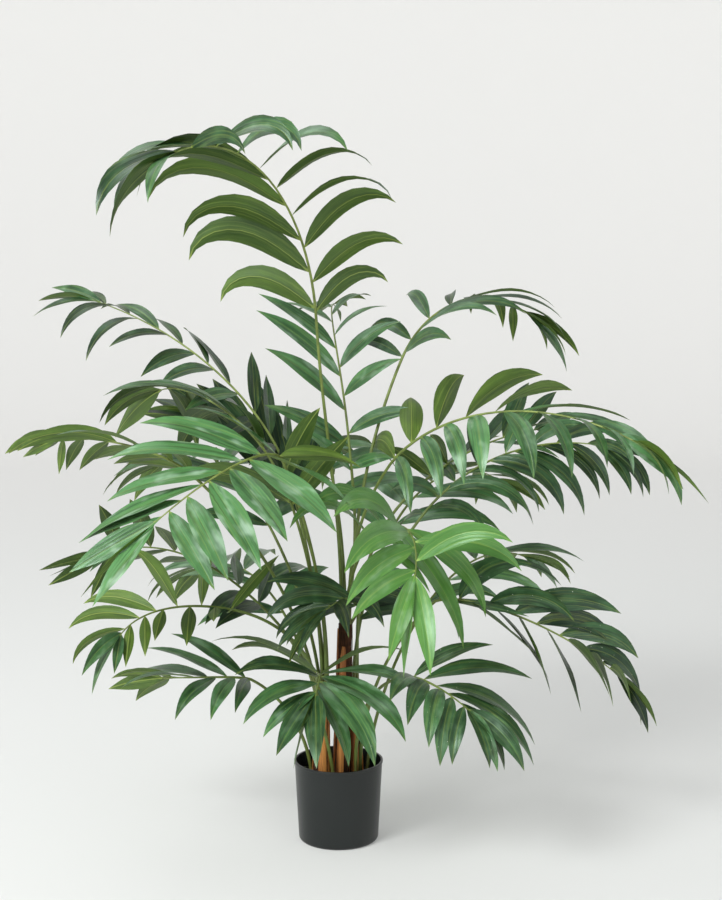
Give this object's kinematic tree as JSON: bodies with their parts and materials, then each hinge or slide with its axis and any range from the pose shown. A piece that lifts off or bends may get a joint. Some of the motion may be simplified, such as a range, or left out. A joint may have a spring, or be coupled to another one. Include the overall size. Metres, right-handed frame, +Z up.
{
  "type": "artificial potted parlor palm",
  "caption": "Artificial parlor palm: fibre trunks in a plain dark nursery pot carry arching fronds of long pointed leaflets, full on all sides.",
  "frame": {"origin": "centre of the pot's flat underside", "axes": "+Z up, +X to the right of the picture, +Y away from the camera"},
  "size_m": [1.1205, 1.0138, 1.1933],
  "materials": {
    "pot": "satin charcoal moulded plastic",
    "filling": "rough dark cast filling",
    "trunk": "copper-brown bark strips and dark fibre",
    "stalk": "pale green moulded plastic",
    "frond": "printed polyester leaf cloth with a soft sheen, darker blue-green above and olive below",
    "young_frond": "printed polyester leaf cloth with a soft sheen, bright yellow-green"
  },
  "bodies": {
    "root": {"pot": "pot", "filling": "filling", "trunk_left": "trunk", "trunk_middle": "trunk", "trunk_right": "trunk", "stalk_top": "stalk", "stalk_top_back": "stalk", "stalk_high_right": "stalk", "stalk_mid_right": "stalk", "stalk_mid_right_low": "stalk", "stalk_mid_right_back": "stalk", "stalk_centre_young": "stalk", "stalk_high_left": "stalk", "stalk_mid_left_back": "stalk", "stalk_far_left": "stalk", "stalk_front_left": "stalk", "stalk_low_left": "stalk", "stalk_low_left_back": "stalk", "stalk_base_left": "stalk", "stalk_base_front": "stalk", "stalk_base_right_front": "stalk", "stalk_base_right": "stalk", "stalk_back_high": "stalk", "stalk_back": "stalk", "stalk_back_right": "stalk", "stalk_back_left": "stalk", "stalk_base_back_right": "stalk", "stalk_base_back_left": "stalk", "stalk_centre_low": "stalk", "frond_top": "frond", "frond_top_back": "frond", "frond_high_right": "frond", "frond_mid_right": "frond", "frond_mid_right_low": "frond", "frond_mid_right_back": "frond", "frond_centre_young": "young_frond", "frond_high_left": "frond", "frond_mid_left_back": "frond", "frond_far_left": "frond", "frond_front_left": "frond", "frond_low_left": "frond", "frond_low_left_back": "frond", "frond_base_left": "frond", "frond_base_front": "frond", "frond_base_right_front": "frond", "frond_base_right": "frond", "frond_back_high": "frond", "frond_back": "frond", "frond_back_right": "frond", "frond_back_left": "frond", "frond_base_back_right": "frond", "frond_base_back_left": "frond", "frond_centre_low": "frond"}
  },
  "joints": []
}
